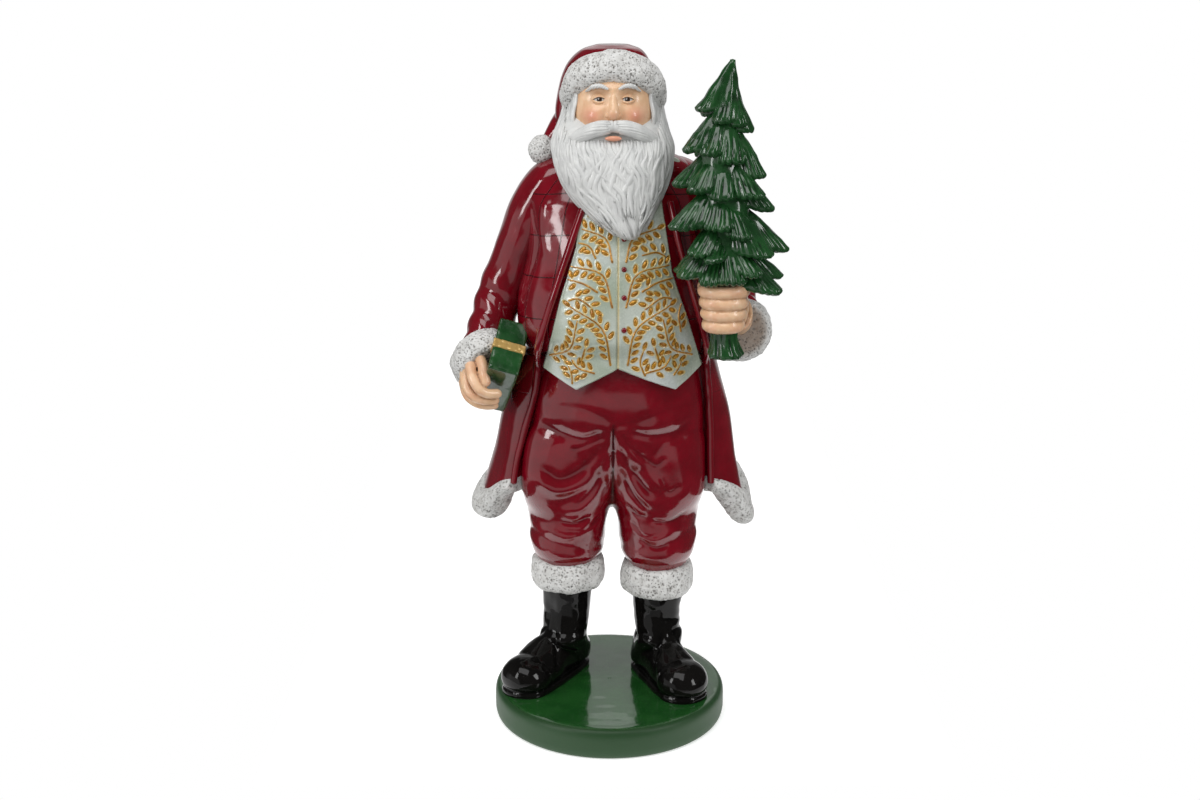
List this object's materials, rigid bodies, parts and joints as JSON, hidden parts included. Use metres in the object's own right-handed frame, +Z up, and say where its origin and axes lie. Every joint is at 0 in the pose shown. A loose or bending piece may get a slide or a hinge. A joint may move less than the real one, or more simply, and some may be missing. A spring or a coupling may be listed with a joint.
{
  "type": "santa figurine",
  "caption": "Standing Santa figurine on a round base, holding a small fir tree and a wrapped parcel; a tabletop Christmas decoration.",
  "frame": {"origin": "centre of the round base's underside", "axes": "+Z up through the standing figure, -Y out of its front, +X towards the hand that holds the tree"},
  "size_m": [0.1919, 0.1422, 0.4],
  "materials": {
    "painted_resin": "gloss",
    "red_lacquer": "gloss",
    "white_fur": "matte",
    "white_beard": "satin",
    "skin": "satin",
    "vest_sage": "satin",
    "gold_paint": "gloss",
    "tree_green": "gloss",
    "base_green": "gloss",
    "boot_black": "gloss",
    "eye_paint": "gloss"
  },
  "bodies": {
    "root": {"santa_figurine": "painted_resin"}
  },
  "joints": []
}
